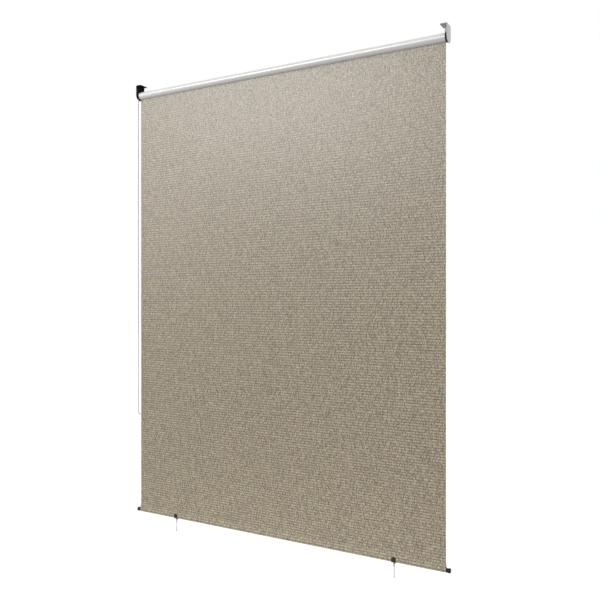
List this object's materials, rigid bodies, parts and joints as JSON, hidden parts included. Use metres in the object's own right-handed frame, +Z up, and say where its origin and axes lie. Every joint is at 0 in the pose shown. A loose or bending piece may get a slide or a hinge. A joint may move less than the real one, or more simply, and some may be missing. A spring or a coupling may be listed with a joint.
{
  "type": "outdoor roller shade",
  "caption": "Chain-operated outdoor roller shade: knitted sun cloth on an aluminium roller between ceiling brackets, with a weighted hem, clips and short tie cords.",
  "frame": {"origin": "on the ceiling plane, at the centre of the rectangle of the four bracket screws", "axes": "+X along the roller from the chain end to the idle end, +Y from the front to the back, +Z up towards the ceiling"},
  "size_m": [1.79, 0.056, 2.4453],
  "materials": {
    "black_plastic": "fine moulded grain",
    "grey_plastic": "smooth moulded, light grey",
    "white_plastic": "natural white moulded",
    "spring_steel": "bright drawn wire",
    "chain_plastic": "smooth moulded dark beads on a cord",
    "shade_cloth": "coarse knit with horizontal rows, taupe",
    "satin_aluminium": "satin, drawn along its length",
    "hook_wire": "grey coated wire",
    "tie_cord": "braided grey cord"
  },
  "bodies": {
    "mounts": {"left_bracket": "black_plastic", "right_bracket": "grey_plastic", "chain_housing": "black_plastic", "clutch_post": "white_plastic", "post_retainer": "spring_steel", "bead_chain": "chain_plastic", "cloth": "shade_cloth"},
    "roller": {"roller_tube": "satin_aluminium", "cloth_rod": "white_plastic", "chain_wheel": "black_plastic", "drive_crown": "black_plastic", "wrap_springs": "spring_steel", "idle_plug": "black_plastic", "spring_seat": "white_plastic"},
    "sprung_pin": {"idle_pin": "spring_steel", "idle_spring": "spring_steel"},
    "bottom_rail": {"bottom_bar": "satin_aluminium", "left_end_cap": "black_plastic", "right_end_cap": "black_plastic", "hem_pocket": "shade_cloth", "left_clip": "black_plastic", "right_clip": "black_plastic"},
    "left_tie": {"left_hook": "hook_wire", "left_tie_cord": "tie_cord", "left_tie_knots": "tie_cord"},
    "right_tie": {"right_hook": "hook_wire", "right_tie_cord": "tie_cord", "right_tie_knots": "tie_cord"}
  },
  "joints": [
    {"name": "roller_spin", "type": "hinge", "parent": "mounts", "child": "roller", "pos_m": [0, 0, -0.054], "axis": [1, 0, 0], "range_deg": [0, 5040], "deforming": ["cloth", "bead_chain"]},
    {"name": "bar_lift", "type": "slide", "parent": "mounts", "child": "bottom_rail", "axis": [0, 0, 1], "range_m": [0, 2.24], "deforming": ["cloth", "bead_chain"]},
    {"name": "pin_slide", "type": "slide", "parent": "mounts", "child": "sprung_pin", "axis": [-1, 0, 0], "range_m": [0, 0.005], "stiffness_N_per_m": 400, "springref_m": -0.006, "deforming": ["idle_spring"]},
    {"name": "left_tie_swing", "type": "hinge", "parent": "bottom_rail", "child": "left_tie", "pos_m": [-0.6195, 0, -2.3796], "axis": [1, 0, 0], "range_deg": [-70, 70]},
    {"name": "right_tie_swing", "type": "hinge", "parent": "bottom_rail", "child": "right_tie", "pos_m": [0.6345, 0, -2.3796], "axis": [1, 0, 0], "range_deg": [-70, 70]}
  ],
  "couplings": [
    {"joint": "bar_lift", "follows": "roller_spin", "m_per_rad": 0.025465}
  ]
}
